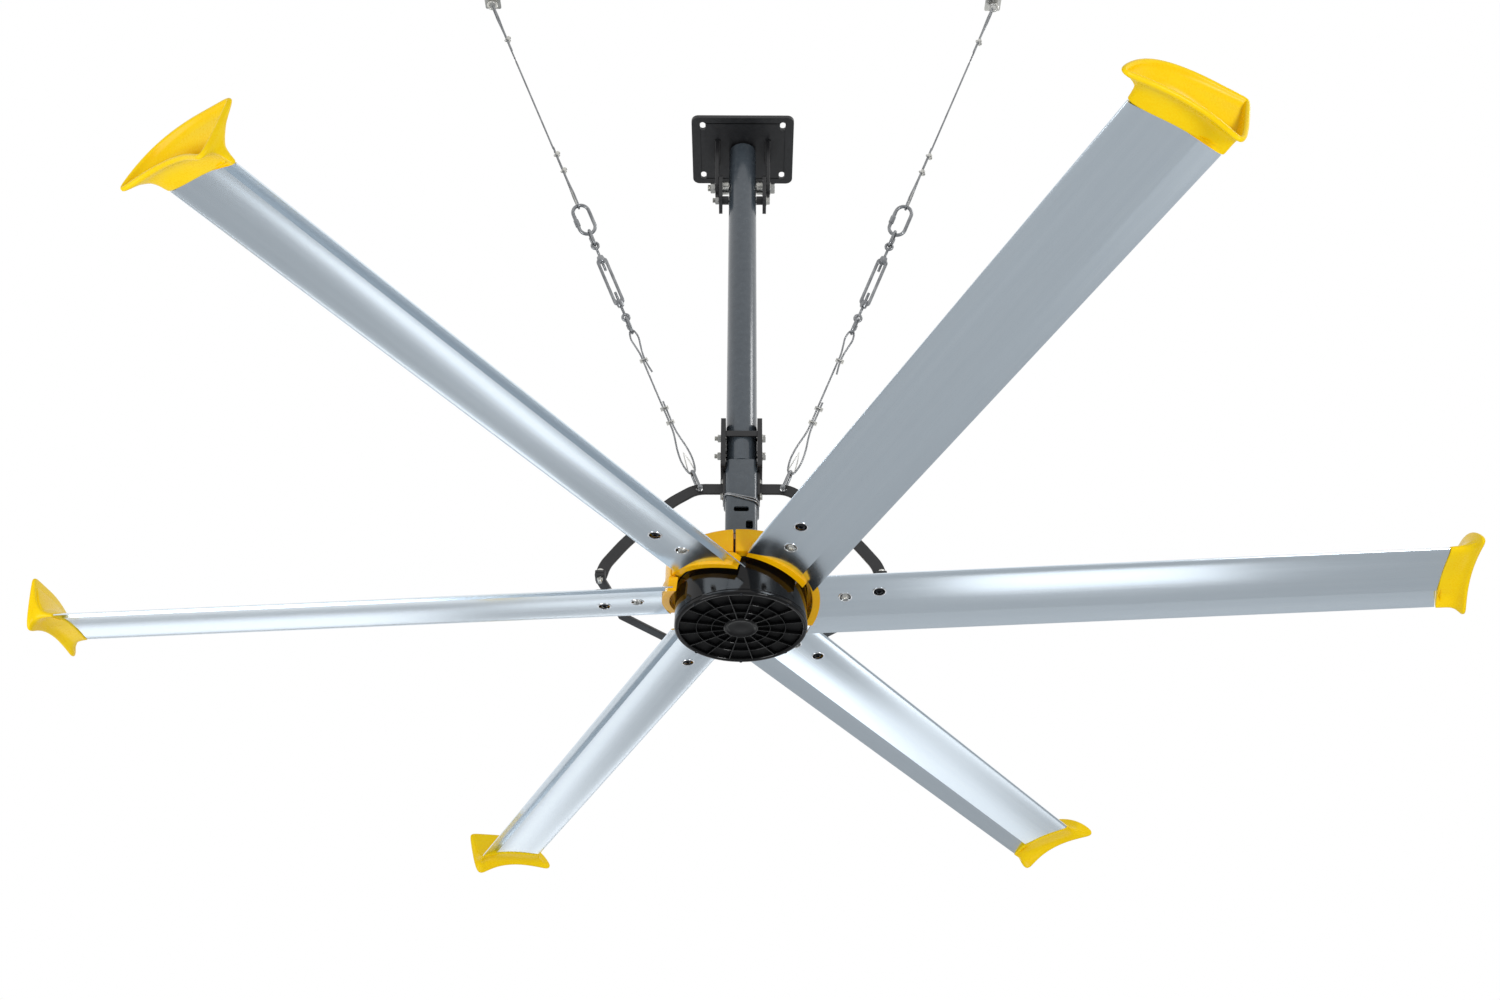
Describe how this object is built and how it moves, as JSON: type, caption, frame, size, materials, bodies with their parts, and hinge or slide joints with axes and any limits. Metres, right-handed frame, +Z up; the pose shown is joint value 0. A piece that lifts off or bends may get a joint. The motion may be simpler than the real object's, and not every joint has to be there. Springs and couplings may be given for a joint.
{
  "type": "industrial ceiling fan",
  "caption": "Large industrial ceiling fan: aluminium blades with yellow tip caps on a black hub, hung on a downrod from a swivel bracket, with guy wires.",
  "frame": {"origin": "middle of the ceiling plate's top face, where the fan is held", "axes": "+Z up, the rotor's axis; +X along the swivel bolt, to the right in the picture; -Y towards the picture's camera"},
  "size_m": [2.7536, 2.5702, 1.3366],
  "materials": {
    "black_steel": "satin",
    "grey_steel": "satin",
    "zinc": "satin",
    "galvanised": "matte",
    "ground_steel": "gloss",
    "aluminium": "satin",
    "yellow": "gloss",
    "black_plastic": "gloss",
    "magnet": "satin",
    "lamination": "matte",
    "copper": "gloss"
  },
  "bodies": {
    "bracket": {"ceiling_bracket": "black_steel", "swivel_bolt": "zinc"},
    "suspension": {"cheek_left": "black_steel", "cheek_right": "black_steel", "cheek_bolt": "zinc", "downrod": "grey_steel", "clamp_left": "black_steel", "clamp_right": "black_steel", "clamp_bolt_upper": "zinc", "clamp_bolt_lower": "zinc", "lower_mast": "grey_steel", "motor_shaft": "ground_steel", "bearing_upper": "ground_steel", "bearing_lower": "ground_steel", "stator_core": "lamination", "stator_winding": "copper", "frame_arm_left": "black_steel", "frame_arm_right": "black_steel", "frame_hoop": "black_steel", "frame_bolt_left": "zinc", "frame_bolt_right": "zinc", "safety_cable": "galvanised", "guy_wire_lower_left": "galvanised", "guy_wire_lower_right": "galvanised", "guy_wire_upper_left": "galvanised", "guy_wire_upper_right": "galvanised", "turnbuckle_left": "galvanised", "turnbuckle_right": "galvanised", "shackle_left": "galvanised", "shackle_right": "galvanised", "lower_link_left": "galvanised", "lower_link_right": "galvanised", "upper_link_left": "galvanised", "upper_link_right": "galvanised", "carabiner_left": "galvanised", "carabiner_right": "galvanised", "ceiling_anchor_left": "zinc", "ceiling_anchor_right": "zinc"},
    "rotor": {"motor_shell": "black_plastic", "bottom_cover": "black_plastic", "magnet_ring": "magnet", "blade_a": "aluminium", "blade_b": "aluminium", "blade_c": "aluminium", "blade_d": "aluminium", "blade_e": "aluminium", "blade_f": "aluminium", "blade_holder_a": "yellow", "blade_holder_b": "yellow", "blade_holder_c": "yellow", "blade_holder_d": "yellow", "blade_holder_e": "yellow", "blade_holder_f": "yellow", "tip_cap_a": "yellow", "tip_cap_b": "yellow", "tip_cap_c": "yellow", "tip_cap_d": "yellow", "tip_cap_e": "yellow", "tip_cap_f": "yellow"}
  },
  "joints": [
    {"name": "downrod_swivel", "type": "hinge", "parent": "bracket", "child": "suspension", "pos_m": [0, 0, -0.135], "axis": [1, 0, 0], "range_deg": [-5, 5]},
    {"name": "rotor_spin", "type": "hinge", "parent": "suspension", "child": "rotor", "pos_m": [0, 0, -1.2773], "axis": [0, 0, -1], "continuous": true}
  ]
}
